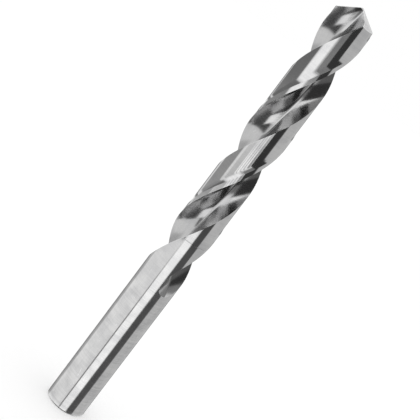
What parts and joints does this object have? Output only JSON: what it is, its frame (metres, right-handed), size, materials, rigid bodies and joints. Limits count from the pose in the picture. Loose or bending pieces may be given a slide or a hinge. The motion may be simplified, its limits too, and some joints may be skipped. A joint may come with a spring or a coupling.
{
  "type": "twist drill bit",
  "caption": "Solid twist drill with a plain round shank, a right-hand helical body with ground flutes and narrow margins, and a cone-shaped cutting point.",
  "frame": {"origin": "centre of the flat end face of the shank, which the drill stands on", "axes": "+Z along the drill's axis from the shank end to the point; X runs along the cutting lips at the point"},
  "size_m": [0.016, 0.016, 0.178],
  "materials": {
    "ground_steel": "bright ground"
  },
  "bodies": {
    "root": {"twist_drill": "ground_steel"}
  },
  "joints": []
}
